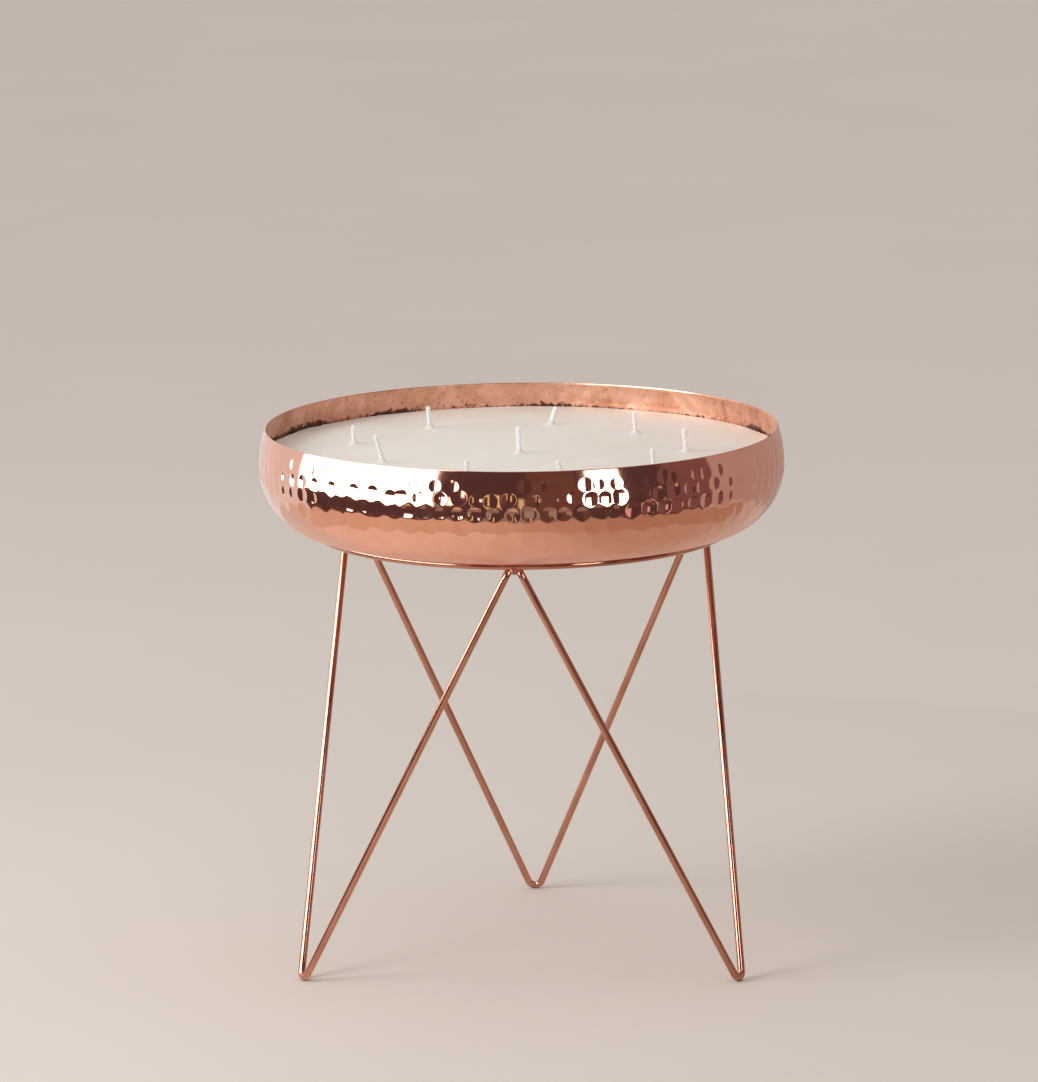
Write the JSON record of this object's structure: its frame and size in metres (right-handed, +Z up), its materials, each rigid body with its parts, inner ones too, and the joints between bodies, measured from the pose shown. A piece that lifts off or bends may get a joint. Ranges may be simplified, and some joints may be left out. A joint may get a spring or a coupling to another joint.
{
  "type": "hammered copper bowl candle on wire stand",
  "caption": "Shallow hammered copper bowl filled with cream wax and upright wicks, resting in the ring of a copper-coloured wire stand with hairpin legs",
  "frame": {"origin": "on the floor, under the middle of the stand ring and of the bowl", "axes": "+Z up along the axis of the bowl and of the ring; +Y towards the foot of leg_back; -Y towards weld_front; +X to the right when seen from -Y"},
  "size_m": [0.3, 0.3, 0.3101],
  "materials": {
    "hammered_copper": "polished",
    "wax": "satin",
    "wick_cotton": "matte",
    "tab_steel": "satin",
    "plated_wire": "polished",
    "plated_weld": "satin"
  },
  "bodies": {
    "stand": {"stand_ring": "plated_wire", "leg_back": "plated_wire", "leg_front_left": "plated_wire", "leg_front_right": "plated_wire", "weld_front": "plated_weld", "weld_back_right": "plated_weld", "weld_back_left": "plated_weld"},
    "bowl": {"bowl_shell": "hammered_copper", "wax_fill": "wax", "wick_01": "wick_cotton", "wick_02": "wick_cotton", "wick_03": "wick_cotton", "wick_04": "wick_cotton", "wick_05": "wick_cotton", "wick_06": "wick_cotton", "wick_07": "wick_cotton", "wick_08": "wick_cotton", "wick_09": "wick_cotton", "wick_10": "wick_cotton", "wick_tab_01": "tab_steel", "wick_tab_02": "tab_steel", "wick_tab_03": "tab_steel", "wick_tab_04": "tab_steel", "wick_tab_05": "tab_steel", "wick_tab_06": "tab_steel", "wick_tab_07": "tab_steel", "wick_tab_08": "tab_steel", "wick_tab_09": "tab_steel", "wick_tab_10": "tab_steel"}
  },
  "joints": [
    {"name": "bowl_lift", "type": "slide", "parent": "stand", "child": "bowl", "axis": [0, 0, 1], "range_m": [0, 0.06]}
  ]
}
